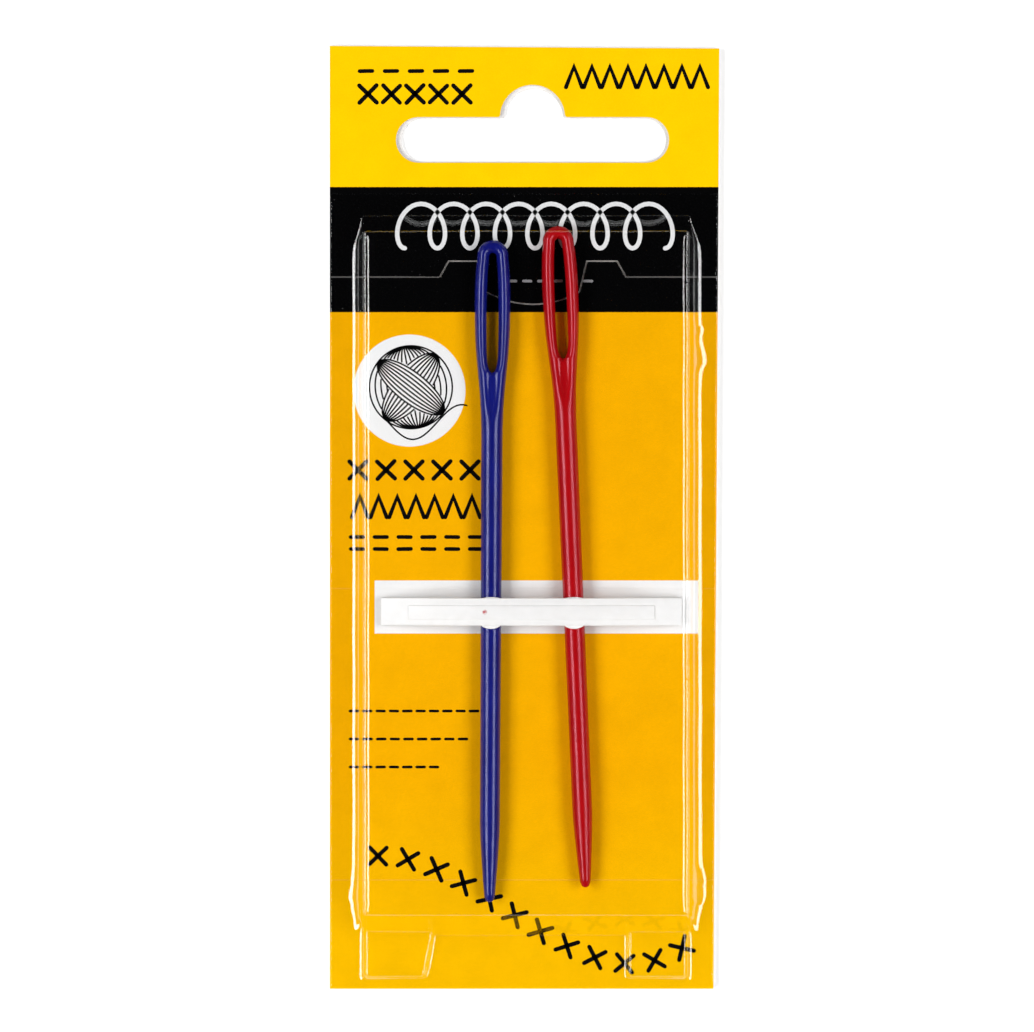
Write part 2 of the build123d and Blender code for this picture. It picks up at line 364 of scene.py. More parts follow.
def lancePath(lance, steps):
    foldY = cardHead - lance["foldFromTop"]
    left = [(lance["x"] - half, foldY + rise) for half, rise in steps]
    right = [(lance["x"] + half, foldY + rise) for half, rise in reversed(steps)]
    half, drop = steps[-1][0], -steps[-1][1]
    sag = lance["dip"] - drop
    radius = (half**2 + sag**2) / (2 * sag)
    turn = math.degrees(math.asin(half / radius))
    dip = arc((lance["x"], foldY - lance["dip"] + radius), radius, 270 - turn, 270 + turn, 16)
    return left[:-1] + dip + right[1:]


def makeFrontCard(material):
    width, bevel = cardFace["width"], cardFace["bevel"]
    outline = [
        (-width / 2, -cardHead),
        (width / 2 - cardFace["rightLean"], -cardHead),
        (width / 2, cardHead - cardFace["topFall"]),
        (-width / 2, cardHead),
    ]
    lance = cardFace["lance"]
    path = lancePath(lance, cardFace["lanceSteps"])
    kerf = offsetPath(path, lance["kerf"] / 2) + offsetPath(path, -lance["kerf"] / 2)[::-1]
    curve = bpy.data.curves.new("cardLoops", "CURVE")
    curve.dimensions = "2D"
    curve.fill_mode = "BOTH"
    for loop in (outline, slotLoop(cardFace["slot"]), kerf):
        spline = curve.splines.new("POLY")
        spline.points.add(len(loop) - 1)
        for point, (x, y) in zip(spline.points, loop):
            point.co = (x, y, 0, 1)
        spline.use_cyclic_u = True
    curve.extrude = cardFace["ply"] / 2 - bevel
    curve.bevel_depth = bevel
    curve.bevel_resolution = 1
    curve.offset = -bevel
    holder = link(bpy.data.objects.new("cardLoops", curve))
    mesh = takeMesh(holder)
    shape = bmesh.new()
    shape.from_mesh(mesh)
    bmesh.ops.remove_doubles(shape, verts=shape.verts, dist=0.0005)
    half = cardFace["creaseWidth"] / 2
    foldY = cardHead - lance["foldFromTop"]
    rows = [cardHead - d for d in cardFace["creasesFromTop"]]
    rows += [-cardHead + d for d in cardFace["creasesFromFoot"]]

    def split(geometry, at, across):
        bmesh.ops.bisect_plane(shape, geom=geometry, plane_co=at, plane_no=across, dist=0.0005)

    for row in rows + [foldY]:
        for line in (row - half, row, row + half):
            split(shape.verts[:] + shape.edges[:] + shape.faces[:], (0, line, 0), (0, 1, 0))
    foldHalf = cardFace["lanceSteps"][0][0] + half
    for x in (lance["x"] - foldHalf, lance["x"] + foldHalf):
        nearFold = [f for f in shape.faces if abs(f.calc_center_median().y - foldY) < 2 * half]
        corners = {v for f in nearFold for v in f.verts}
        sides = {e for f in nearFold for e in f.edges}
        split(list(corners | sides | set(nearFold)), (x, 0, 0), (1, 0, 0))
    topZ = max(v.co.z for v in shape.verts)
    for vert in shape.verts:
        if vert.co.z < topZ - 0.001:
            continue
        inRow = any(abs(vert.co.y - row) < 0.001 for row in rows)
        inFold = abs(vert.co.y - foldY) < 0.001 and abs(vert.co.x - lance["x"]) > foldHalf + 0.001
        if inRow or inFold:
            vert.co.z -= cardFace["foldDepth" if inFold else "creaseDepth"]
    bmesh.ops.recalc_face_normals(shape, faces=shape.faces)
    shape.to_mesh(mesh)
    shape.free()
    mesh.transform(Matrix.Translation((0, 0, cardTop - cardFace["ply"] / 2)))
    mesh.transform(Matrix.Scale(mm, 4))
    coat(mesh, material)
    shade(mesh, False)
    mesh.name = "front_card_board"
    return link(bpy.data.objects.new("front_card_board", mesh))


frontCard = makeFrontCard(printedBoard())
coat(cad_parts["back_card"].data, plainBoard())
print("board plies made,", len(frontCard.data.polygons), "faces in the front one")


# Needle stitches, threads and a ball of yarn printed on the card, as films of ink


def picture(px, py):
    # a place in the photograph's pixels, in millimetres on the card
    return ((px - 524.6) * 0.1057, (517.3 - py) * 0.1057)


ink = {
    "film": 0.008,
    "black": (0.002, 0.002, 0.0025),
    "white": (0.86, 0.86, 0.86),
    "grey": (0.3, 0.3, 0.31),
    "dash": (1.35, 0.42),
    "smallDash": (0.85, 0.3),
    "cross": (2.3, 0.46),
    "chevron": (1.7, 2.6, 0.44),
    "loop": (3.6, 2.35, 2.1),  # pitch, half height and half width of the band's thread loops
    "loopStroke": 0.46,
    "yarnStroke": 0.17,
    "ballShare": 0.74,  # of the white disc, taken by the ball of yarn
}


def inkMaterial(name, colour):
    material, shader, tree, place = startPlaced(name, colour, 0.32, Specular_IOR_Level=0.12)
    wear = ramp(tree, noise(tree, place, 7.0, 4.0, 0.65), 0.35, 0.65, 0.86, 1.0)
    tree.links.new(scaleBy(tree, colour, wear), shader.inputs["Base Color"])
    addBump(tree, shader, noise(tree, place, 11.0, 4.0, 0.6), 0.25, 0.02)
    return material


def roundCap(end, before, radius, steps):
    turn = math.atan2(end[1] - before[1], end[0] - before[0])
    swings = [turn + math.pi / 2 - math.pi * i / steps for i in range(1, steps)]
    return [(end[0] + radius * math.cos(t), end[1] + radius * math.sin(t)) for t in swings]


def strokeMesh(paths, width, capSteps=5):
    # flat strokes with round ends along open paths
    points, faces = [], []
    for path in paths:
        left, right = offsetPath(path, width / 2), offsetPath(path, -width / 2)
        head = roundCap(path[-1], path[-2], width / 2, capSteps)
        tail = roundCap(path[0], path[1], width / 2, capSteps)
        start = len(points)
        points += left + right + head + tail
        count = len(path)
        rights = start + count
        heads = start + 2 * count
        tails = heads + len(head)
        for i in range(count - 1):
            faces.append((rights + i, rights + i + 1, start + i + 1, start + i))
        faces.append((start + count - 1, rights + count - 1, *range(heads + len(head) - 1, heads - 1, -1)))
        faces.append((rights, start, *range(tails + len(tail) - 1, tails - 1, -1)))
    return points, faces


def inkFilm(name, points, faces, material):
    piece = meshPiece(name, [(x, y, cardTop) for x, y in points], faces, material, smooth=False)
    shape = bmesh.new()
    shape.from_mesh(piece.data)
    bmesh.ops.recalc_face_normals(shape, faces=shape.faces)
    made = bmesh.ops.extrude_face_region(shape, geom=shape.faces[:])["geom"]
    lifted = [v for v in made if isinstance(v, bmesh.types.BMVert)]
    bmesh.ops.translate(shape, verts=lifted, vec=(0, 0, ink["film"] * mm))
    bmesh.ops.recalc_face_normals(shape, faces=shape.faces)
    shape.to_mesh(piece.data)
    shape.free()
    return piece


def joined(name, pieces):
    # several pieces as one mesh, their places kept
    shape = bmesh.new()
    materials = []
    for piece in pieces:
        start = len(materials)
        materials += [m for m in piece.data.materials if m not in materials]
        before = len(shape.faces)
        shape.from_mesh(piece.data)
        shape.faces.ensure_lookup_table()
        for face in shape.faces[before:]:
            face.material_index = materials.index(piece.data.materials[face.material_index])
    mesh = bpy.data.meshes.new(name)
    shape.to_mesh(mesh)
    shape.free()
    for material in materials:
        mesh.materials.append(material)
    for piece in pieces:
        bpy.data.objects.remove(piece)
    return link(bpy.data.objects.new(name, mesh))


def stitchTree():
    # Geometry Nodes: one stitch shape repeated along guide lines
    tree = bpy.data.node_groups.new("stitch_rows", "GeometryNodeTree")
    inputs = {"Geometry": "Geometry", "Stitch": "Object", "Spacing": "Float"}
    inputs |= {"Size Spread": "Float", "Turn Spread": "Float", "Seed": "Int", "Ink": "Material"}
    for name, kind in inputs.items():
        tree.interface.new_socket(name, in_out="INPUT", socket_type="NodeSocket" + kind)
    tree.interface.new_socket("Geometry", in_out="OUTPUT", socket_type="NodeSocketGeometry")
    given = addNode(tree, "NodeGroupInput").outputs
    guide = {"Curve": given["Geometry"], "Length": given["Spacing"]}
    points = addNode(tree, "GeometryNodeCurveToPoints", guide, mode="LENGTH")
    shape = addNode(tree, "GeometryNodeObjectInfo", {"Object": given["Stitch"]})
    tangent = {"Vector": points.outputs["Tangent"]}
    along = addNode(tree, "FunctionNodeAlignRotationToVector", tangent, axis="X", pivot_axis="Z")

    def spread(least, most):
        limits = {2: least, 3: most, "Seed": given["Seed"]}
        return addNode(tree, "FunctionNodeRandomValue", limits, data_type="FLOAT").outputs[1]

    swing = spread(calc(tree, "SUBTRACT", 0.0, given["Turn Spread"]), given["Turn Spread"])
    spin = addNode(tree, "ShaderNodeCombineXYZ", {2: swing}).outputs[0]
    spin = addNode(tree, "FunctionNodeEulerToRotation", {0: spin}).outputs[0]
    turns = {"Rotation": along.outputs[0], "Rotate By": spin}
    turned = addNode(tree, "FunctionNodeRotateRotation", turns).outputs[0]
    size = spread(calc(tree, "SUBTRACT", 1.0, given["Size Spread"]), 1.0)
    places = {"Points": points.outputs["Points"], "Instance": shape.outputs["Geometry"]}
    places |= {"Rotation": turned, "Scale": size}
    placed = addNode(tree, "GeometryNodeInstanceOnPoints", places)
    whole = addNode(tree, "GeometryNodeRealizeInstances", {"Geometry": placed.outputs[0]})
    inked = addNode(tree, "GeometryNodeSetMaterial", {"Geometry": whole.outputs[0], "Material": given["Ink"]})
    addNode(tree, "NodeGroupOutput", {0: inked.outputs[0]})
    return tree


repeatTree = stitchTree()


def repeatAlong(name, guides, shape, spacing, material, sizeSpread=0.0, turnSpread=0.0, seed=1):
    # guides are open lines of (x, y, z) in millimetres; shape is an object whose mesh is laid along +X
    curve = bpy.data.curves.new(name + "Guide", "CURVE")
    curve.dimensions = "3D"
    for guide in guides:
        spline = curve.splines.new("POLY")
        spline.points.add(len(guide) - 1)
        for point, place in zip(spline.points, guide):
            point.co = (*[v * mm for v in place], 1)
    holder = link(bpy.data.objects.new(name + "Guide", curve))
    modifier = holder.modifiers.new("stitches", "NODES")
    modifier.node_group = repeatTree
    values = {
        "Stitch": shape,
        "Spacing": spacing * mm,
        "Size Spread": sizeSpread,
        "Turn Spread": turnSpread,
        "Seed": seed,
        "Ink": material,
    }
    for item in repeatTree.interface.items_tree:
        if item.in_out == "INPUT" and item.name in values:
            modifier[item.identifier] = values[item.name]
    mesh = takeMesh(holder)
    mesh.name = name
    return link(bpy.data.objects.new(name, mesh))


def stitchShape(name, paths, width):
    points, faces = strokeMesh(paths, width)
    piece = inkFilm(name, points, faces, None)
    piece.data.transform(Matrix.Translation((0, 0, -cardTop * mm)))
    return piece


def row(px0, px1, py):
    return [(*picture(px, py), cardTop) for px in np.linspace(px0, px1, 8)]


def bowedRow(places):
    # a smooth line through a few picture places
    xs = np.array([p[0] for p in places], float)
    fit = np.polyfit(xs, [p[1] for p in places], 3)
    return [(*picture(px, float(np.polyval(fit, px))), cardTop) for px in np.linspace(xs[0], xs[-1], 40)]


blackInk = inkMaterial("black_ink", ink["black"])
whiteInk = inkMaterial("white_ink", ink["white"])
greyInk = inkMaterial("grey_ink", ink["grey"])
dashes = []
for length, width in (ink["dash"], ink["smallDash"]):
    dashes.append(stitchShape("dashShape", [[(-length / 2, 0), (length / 2, 0)]], width))
dashShape, smallDashShape = dashes
size, width = ink["cross"]
arm = (size - width) / 2
crossShape = stitchShape("crossShape", [[(-arm, -arm), (arm, arm)], [(-arm, arm), (arm, -arm)]], width)
pitch, height, width = ink["chevron"]
rise = (height - width) / 2
chevronShape = stitchShape("chevronShape", [[(-pitch / 2, -rise), (0, rise), (pitch / 2, -rise)]], width)


def yarnBall():
    # outline, three windings in turn, each hidden where the next one crosses it, and a loose end
    centreX, centreY, discRadius = board["disc"]
    radius = discRadius * ink["ballShare"]
    centre = Vector((centreX + 0.15, centreY + 0.35))
    lenses = [(-38, 0.42), (52, 0.36)]  # windings that lie on top: their turn and how wide they are

    def inLens(point, turn, share):
        local = Matrix.Rotation(-math.radians(turn), 2) @ (point - centre)
        edge = radius * share * math.sqrt(max(0.0, 1 - (local.y / radius) ** 2))
        return abs(local.x) < edge

    def windings(turn, shares, covers):
        runs = []
        for share in shares:
            run = []
            for i in range(41):
                t = -math.pi / 2 + math.pi * i / 40
                local = Vector((radius * share * math.cos(t), radius * math.sin(t) * 0.985))
                point = centre + Matrix.Rotation(math.radians(turn), 2) @ local
                if any(inLens(point, *cover) for cover in covers):
                    if len(run) > 2:
                        runs.append(run)
                    run = []
                else:
                    run.append(tuple(point))
            if len(run) > 2:
                runs.append(run)
        return runs

    lines = [arc(tuple(centre), radius, 0, 360, 64)]
    lines += windings(10, [s / 7 for s in range(-6, 7)], lenses)
    lines += windings(lenses[0][0], [lenses[0][1] * s / 4 for s in range(-4, 5)], lenses[1:])
    lines += windings(lenses[1][0], [lenses[1][1] * s / 4 for s in range(-4, 5)], [])
    end = []
    for i in range(25):
        t = i / 24
        sag = 0.84 + 0.42 * math.sin(t * math.pi * 1.6)
        end.append((centre.x + radius * (-0.55 + 1.9 * t), centre.y - radius * sag))
    lines.append(end)
    return lines


def threadLoops(px0, px1, py):
    pitch, high, wide = ink["loop"]
    (x0, y), (x1, _) = picture(px0, py), picture(px1, py)
    run, steps = x1 - x0 - 2 * wide, 28
    turns = round(run / pitch)
    path = []
    for i in range(turns * steps + 1):
        t = 2 * math.pi * i / steps
        x = x0 + wide + run * t / (2 * math.pi * turns) - wide * math.sin(t) * 0.75
        path.append((x, y - high * math.cos(t)))
    return [path]


yarnPoints, yarnFaces = strokeMesh(yarnBall(), ink["yarnStroke"])
loopPoints, loopFaces = strokeMesh(threadLoops(385, 685, 226), ink["loopStroke"])
smallRows = [row(354, 474, 711), row(354, 463, 739), row(354, 434, 767)]
crossBow = bowedRow([(378, 856), (480, 893), (580, 952), (682, 948)])
blackMarks = [
    inkFilm("yarnBall", yarnPoints, yarnFaces, blackInk),
    repeatAlong("headDashes", [row(366, 466, 71)], dashShape, 2.15, blackInk, 0.04, 0.02, 3),
    repeatAlong("headCrosses", [row(368, 462, 94)], crossShape, 2.45, blackInk, 0.03, 0.03, 4),
    repeatAlong("headZigzag", [row(574, 700, 77)], chevronShape, 1.7, blackInk),
    repeatAlong("bigCrosses", [row(358, 470, 470)], crossShape, 2.9, blackInk, 0.03, 0.03, 5),
    repeatAlong("bigZigzag", [row(360, 472, 507)], chevronShape, 1.7, blackInk),
    repeatAlong("bigDashes", [row(357, 476, y) for y in (537, 549)], dashShape, 2.15, blackInk, 0.04, 0.02, 6),
    repeatAlong("smallDashes", smallRows, smallDashShape, 1.35, blackInk, 0.05, 0.02, 7),
    repeatAlong("arcCrosses", [crossBow], crossShape, 3.05, blackInk, 0.04, 0.04, 8),
]
whiteMarks = [
    inkFilm("threadLoops", loopPoints, loopFaces, whiteInk),
    repeatAlong("greyDashes", [row(512, 588, 281)], smallDashShape, 1.35, greyInk, 0.04, 0.02, 9),
]
cardInk = joined("front_card_ink", blackMarks + whiteMarks)
for shape in (dashShape, smallDashShape, crossShape, chevronShape):
    bpy.data.objects.remove(shape)
print("print made,", len(cardInk.data.polygons), "faces of ink")


# Needles: two rims round a long eye that run together into a grooved, then round shaft

needle = {
    "length": 69.85,
    "crown": 1.62,
    "outline": [
        (1.62, 1.6), (2.7, 1.72), (5.0, 1.85), (8.0, 1.86), (11.0, 1.76), (14.0, 1.5),
        (16.1, 1.3), (17.9, 1.18), (20.0, 1.12), (24.0, 1.11), (61.65, 1.03),
    ],
    "hole": [
        (1.76, 0.38), (2.7, 0.46), (5.3, 0.58), (8.5, 0.62), (11.0, 0.6),
        (12.4, 0.56), (13.2, 0.46), (13.7, 0.3), (13.92, 0.14), (14.0, 0.0),
    ],
    "holeTop": 1.38,
    "holeEnd": 14.0,
    "grooveEnd": 19.4,
    "rimHeight": 0.9,
    "shaftHeight": 1.04,
    "webHeight": 0.8,
    "webCrown": 0.2,
    "crownSteps": 12,
    "axisHeight": 1.06,
    "tickDepth": 0.02,
    "tipLength": 8.2,
    "tipRadius": 0.46,
    "flash": 0.016,  # the parting line's ridge
    "columns": 20,
    "restGap": 0.03,
}
needlePlaces = {
    "blue_needle": {"x": -3.34, "y": 29.246, "lean": -0.3},
    "red_needle": {"x": 3.48, "y": 30.746, "lean": 2.42, "ticks": (56.2, 60.8)},
}


def needleSection(outer, inner, shaftShare, rimHeight, turn):
    # a point of the right half's upper side: turn 0 is the outer edge, pi the eye's wall or the middle
    centre, half = (outer + inner) / 2, (outer - inner) / 2
    rimX, rimZ = centre + half * math.cos(turn), rimHeight * math.sin(turn)
    shaftX, shaftZ = outer * math.cos(turn / 2), min(outer, needle["shaftHeight"]) * math.sin(turn / 2)
    return (
        rimX * (1 - shaftShare) + shaftX * shaftShare,
        rimZ * (1 - shaftShare) + shaftZ * shaftShare,
    )


def grooveShare(station):
    # 0 at the eye's foot and 1 where the shaft is round, with the height of the web between the rims
    past = station - needle["holeEnd"]
    if past <= 0:
        return 0.0, 0.0
    if station >= needle["grooveEnd"]:
        return 1.0, 0.0
    edge = min(past / 0.5, 1.0)
    share = smoothStep(past / (needle["grooveEnd"] - needle["holeEnd"]))
    return share, needle["webHeight"] * math.sqrt(1 - (1 - edge) ** 2)


def tipRadius(station):
    start = needle["length"] - needle["tipLength"]
    past = (station - start) / needle["tipLength"]
    shaft, tip = needle["outline"][-1][1], needle["tipRadius"]
    left = needle["length"] - station
    taper = shaft + (tip * 1.04 - shaft) * past**1.35
    if left < tip:
        return min(taper, math.sqrt(max(0.0, tip**2 - (tip - left) ** 2)) * 1.02)
    return taper


def needleStations(place):
    stations = []
    crown, holeTop = needle["crown"], needle["holeTop"]
    holeRadius = needle["hole"][0][1]
    for i in range(needle["crownSteps"] + 1):
        turn = math.pi / 2 * (1 - i / needle["crownSteps"])
        outer = (crown * math.cos(turn), -crown + crown * math.sin(turn))
        inner = (holeRadius * math.cos(turn), -holeTop - holeRadius + holeRadius * math.sin(turn))
        stations.append((outer, inner, 0.0, 0.0))
    shares = [i / 22 for i in range(1, 20)] + [0.885, 0.91, 0.932, 0.952, 0.969, 0.982, 0.991, 0.997, 1.0]
    holeStart = needle["hole"][0][0]
    for share in shares:
        outerAt = crown + (needle["holeEnd"] - crown) * share
        innerAt = holeStart + (needle["holeEnd"] - holeStart) * share
        outer = (throughPoints(needle["outline"], outerAt), -outerAt)
        inner = (throughPoints(needle["hole"], innerAt), -innerAt)
        stations.append((outer, inner, 0.0, 0.0))
    tipStart = needle["length"] - needle["tipLength"]
    steps = [0.01, 0.035, 0.08, 0.15, 0.25, 0.38, 0.55, 0.85, 1.2, 1.6, 2.0, 2.5]
    steps += [3.0, 3.5, 4.0, 4.5, 5.0, 5.4, 6.0, 7.0, 8.5]
    below = [needle["holeEnd"] + step for step in steps]
    below += list(np.arange(24.0, tipStart, 2.2))
    below += list(np.linspace(tipStart, needle["length"] - 0.5, 16))
    below += [needle["length"] - d for d in (0.44, 0.36, 0.28, 0.2, 0.13, 0.07, 0.03, 0.008, 0.0)]
    for tick in place.get("ticks", ()):
        below += [tick - 0.07, tick - 0.035, tick, tick + 0.035, tick + 0.07]
    for station in sorted(below):
        outer = throughPoints(needle["outline"], station) if station < tipStart else tipRadius(station)
        if any(abs(station - tick) < 0.01 for tick in place.get("ticks", ())):
            outer -= needle["tickDepth"]
        stations.append(((outer, -station), (0.0, -station), *grooveShare(station)))
    return stations


def layOnCard(place, x, y, z):
    lean = math.radians(place["lean"])
    height = cardTop + needle["restGap"] + needle["axisHeight"]
    return (
        place["x"] + x * math.cos(lean) - y * math.sin(lean),
        place["y"] + x * math.sin(lean) + y * math.cos(lean),
        height + z,
    )


def needlePoint(station, turn):
    outer, inner, share, web = station
    x, z = needleSection(outer[0], inner[0], share, needle["rimHeight"], turn)
    if web and turn > math.pi / 2:
        z = -softMin(-z, needle["webCrown"] * x * x - web, 0.07)
    span = outer[0] - inner[0]
    along = (x - inner[0]) / span if abs(span) > 1e-9 else 0.5 + 0.5 * math.cos(turn)
    return x, inner[1] + (outer[1] - inner[1]) * along, z


def crownPoint(station, turn):
    # at the crown the section lies across the rim, from the eye's wall to the outer edge
    outer, inner = station[:2]
    along = 0.5 + 0.5 * math.cos(turn)
    return (
        inner[0] + (outer[0] - inner[0]) * along,
        inner[1] + (outer[1] - inner[1]) * along,
        needle["rimHeight"] * math.sin(turn),
    )


def makeNeedle(name, place, material):
    stations = needleStations(place)
    columns = needle["columns"]
    turns = [0.0, 0.03] + [math.pi * i / columns for i in range(1, columns + 1)]
    points, faces = [], []
    wide = len(turns)
    for sideX in (1, -1):
        for sideZ in (1, -1):
            start = len(points)
            for i, station in enumerate(stations):
                for j, turn in enumerate(turns):
                    inCrown = i <= needle["crownSteps"]
                    x, y, z = crownPoint(station, turn) if inCrown else needlePoint(station, turn)
                    if j == 0 and i > 0 and station[0][0] > 0.5:
                        x += needle["flash"]
                    points.append(layOnCard(place, x * sideX, y, z * sideZ))
            for i in range(len(stations) - 1):
                for j in range(wide - 1):
                    a = start + i * wide + j
                    quad = (a, a + 1, a + wide + 1, a + wide)
                    faces.append(quad if sideX == sideZ else quad[::-1])
    return meshPiece(name, points, faces, material, merge=0.0015)


def needlePlastic(name, colour, deep, glow, gloss):
    gloss = {"Specular_IOR_Level": 0.6, "Specular_Tint": (*gloss, 1)}
    material, shader, tree, place = startPlaced(name, colour, 0.21, **gloss)
    swirl = noise(tree, place, 0.7, 3.0, 0.55, (1, 0.25, 1))
    tone = mixColour(tree, ramp(tree, swirl, 0.35, 0.65), (*deep, 1), (*colour, 1))
    flow = ramp(tree, noise(tree, place, 3.2, 2.0, 0.5, (1, 0.12, 1)), 0.5, 0.8, 0.0, 0.3)
    tone = mixColour(tree, flow, tone, (*glow, 1))
    tree.links.new(tone, shader.inputs["Base Color"])
    rough = ramp(tree, noise(tree, place, 5.0, 3.0, 0.6, (1, 0.3, 1)), 0.3, 0.7, 0.18, 0.25)
    tree.links.new(rough, shader.inputs["Roughness"])
    grain = noise(tree, place, 3.4, 4.0, 0.62, (1, 0.22, 1))
    addBump(tree, shader, grain, 0.04, 0.03)
    return material


# each plastic's own colour, its deeper and lighter swirls, and the tint of its gloss
blueTones = (0.006, 0.01, 0.2), (0.004, 0.006, 0.15), (0.015, 0.022, 0.26), (0.72, 0.74, 1.0)
redTones = (0.45, 0.002, 0.005), (0.38, 0.001, 0.004), (0.52, 0.006, 0.012), (1.0, 0.5, 0.62)
plastics = {
    "blue_needle": needlePlastic("blue_plastic", *blueTones),
    "red_needle": needlePlastic("red_plastic", *redTones),
}


flashBead = {  # a broken line of flash along one rim of the groove
    "radius": 0.062,
    "long": 1.35,
    "start": 14.35,
    "run": 3.3,
    "fromMiddle": (0.6, 0.12),
    "spacing": 0.31,
    "sink": 0.01,
}


def beadShape():
    mesh = bpy.data.meshes.new("beadShape")
    shape = bmesh.new()
    bmesh.ops.create_icosphere(shape, subdivisions=2, radius=flashBead["radius"] * mm)
    for vert in shape.verts:
        vert.co.x *= flashBead["long"]
    shape.to_mesh(mesh)
    shape.free()
    shade(mesh, True)
    return link(bpy.data.objects.new("beadShape", mesh))


bead = beadShape()
needles = {}
for name, place in needlePlaces.items():
    needles[name] = makeNeedle(name + "_moulding", place, plastics[name])
    guide = []
    for share in np.linspace(0, 1, 12):
        station = flashBead["start"] + flashBead["run"] * share
        outer = throughPoints(needle["outline"], station)
        section = ((outer, -station), (0.0, -station), *grooveShare(station))
        near, far = flashBead["fromMiddle"]
        wanted = near * (1 - share) + far * share
        turns = np.linspace(math.pi / 2, math.pi, 60)
        best = min(turns, key=lambda turn: abs(needlePoint(section, turn)[0] - wanted))
        x, y, z = needlePoint(section, best)
        guide.append(layOnCard(place, x, y, z - flashBead["sink"]))
    spacing, seed = flashBead["spacing"], 11 + len(name)
    beads = repeatAlong(name + "Beads", [guide], bead, spacing, plastics[name], 0.45, 0.3, seed)
    needles[name] = joined(name + "_moulding", [needles[name], beads])
    shade(needles[name].data, True)
bpy.data.objects.remove(bead)
print("needles made,", [len(piece.data.polygons) for piece in needles.values()], "faces")


# Strap over the needles: the solid's own form with rounded edges

strap = {"bevel": 0.07, "speck": (-4.2, -9.95, 0.3)}


def strapPlastic():
    material, shader, tree, place = startPlaced("strap_white", (0.9, 0.9, 0.895), 0.42)
    cloud = ramp(tree, noise(tree, place, 1.2, 3.0), 0.3, 0.7)
    tone = mixColour(tree, cloud, (0.88, 0.88, 0.875, 1), (0.92, 0.92, 0.92, 1))
    x, y, size = strap["speck"]
    near = ramp(tree, flatDistance(tree, place, x, y), 0.1, size, 1.0, 0.0)
    speck = calc(tree, "MULTIPLY", near, ramp(tree, noise(tree, place, 6.0, 2.0), 0.46, 0.5))
    tone = mixColour(tree, speck, tone, (0.5, 0.01, 0.02, 1))
    tree.links.new(tone, shader.inputs["Base Color"])
    addBump(tree, shader, noise(tree, place, 4.0, 4.0, 0.6, (0.4, 1, 1)), 0.2, 0.03)
    return material


def makeStrap(material):
    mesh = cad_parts["needle_strap"].data.copy()
    mesh.name = "strap_moulding"
    shape = bmesh.new()
    shape.from_mesh(mesh)
    bmesh.ops.remove_doubles(shape, verts=shape.verts, dist=0.001 * mm)
    bmesh.ops.dissolve_limit(shape, angle_limit=math.radians(1.5), verts=shape.verts, edges=shape.edges)
    bmesh.ops.recalc_face_normals(shape, faces=shape.faces)
    shape.to_mesh(mesh)
    shape.free()
    coat(mesh, material)
    shade(mesh, True)
    piece = link(bpy.data.objects.new("strap_moulding", mesh))
    bevel = piece.modifiers.new("edges", "BEVEL")
    bevel.width = strap["bevel"] * mm
    bevel.segments = 3
    bevel.limit_method = "ANGLE"
    bevel.angle_limit = math.radians(35)
    bevel.harden_normals = True
    return piece


def adhesive():
    material, shader, tree, place = startPlaced("adhesive", (0.74, 0.7, 0.56), 0.35)
    cloud = ramp(tree, noise(tree, place, 2.5, 3.0), 0.3, 0.7)
    tone = mixColour(tree, cloud, (0.7, 0.65, 0.5, 1), (0.8, 0.77, 0.64, 1))
    tree.links.new(tone, shader.inputs["Base Color"])
    addBump(tree, shader, noise(tree, place, 3.0, 3.0), 0.5, 0.05)
    return material


strapPiece = makeStrap(strapPlastic())
coat(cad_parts["strap_glue"].data, adhesive())
print("strap made")


# Blister: one formed sheet as a height above the card over a fine grid, given its thickness by Solidify

blister = {
    "sheet": 0.26,
    "formedShare": 0.96,  # of the sheet's thickness, left after forming
    "wallThinning": 0.5,
    "ior": 1.5,
    "gloss": 1.5,  # of one face, more than its Fresnel share for the bounces inside the sheet
    "mostGloss": 0.09,
    "gap": 0.02,
    "height": 5.3,
    "left": -17.31,
    "right": 17.61,
    "foot": -44.349,
    "head": 32.0,
    "leans": {"left": 0.35, "right": 0.35, "foot": 2.75, "head": 2.1},
    "cornerFoot": 1.0,  # how far the plan's corners are rounded at the dome's foot and top
    "cornerTop": 0.5,
    "footRounds": {"left": 1.3, "right": 1.6},
    "endRound": 0.2,
    "lugSideRound": 1.0,  # the lugs' outer sides go on from the dome's sides
    "topRound": 0.5,
    "rim": (0.06, 0.0, 0.24),  # the top panel's step: its rise, its start and its end inside the rounding
    "lugs": [(-17.17, -9.4, 0.2), (10.58, 17.41, 0.0)],  # left, right, and the right side's lean per mm
    "lugBlend": 0.12,
    "sideStart": 1.4,  # above the head wall's top edge, where the sides' fillet starts
    "sideFade": 3.4,
    "crumpleFade": (6.0, 3.0),
    "lugFoot": -48.849,
    "lugHeight": 1.1,
    "lugLean": 0.45,
    "lugRound": 0.22,
    "lugCorner": 0.45,
    "lugFade": 4.4,
    "flange": (-20.45, -49.699, 20.35, 34.17),
    "flangeFootRight": 19.83,
}
crumples = [  # where the wall's foot is creased: side, place along y, half length, added radius
    ("right", 16.9, 1.3, 0.75),
    ("right", 19.7, 0.45, 0.35),
    ("right", -39.0, 1.9, 0.9),
    ("left", -40.0, 1.9, 0.5),
]


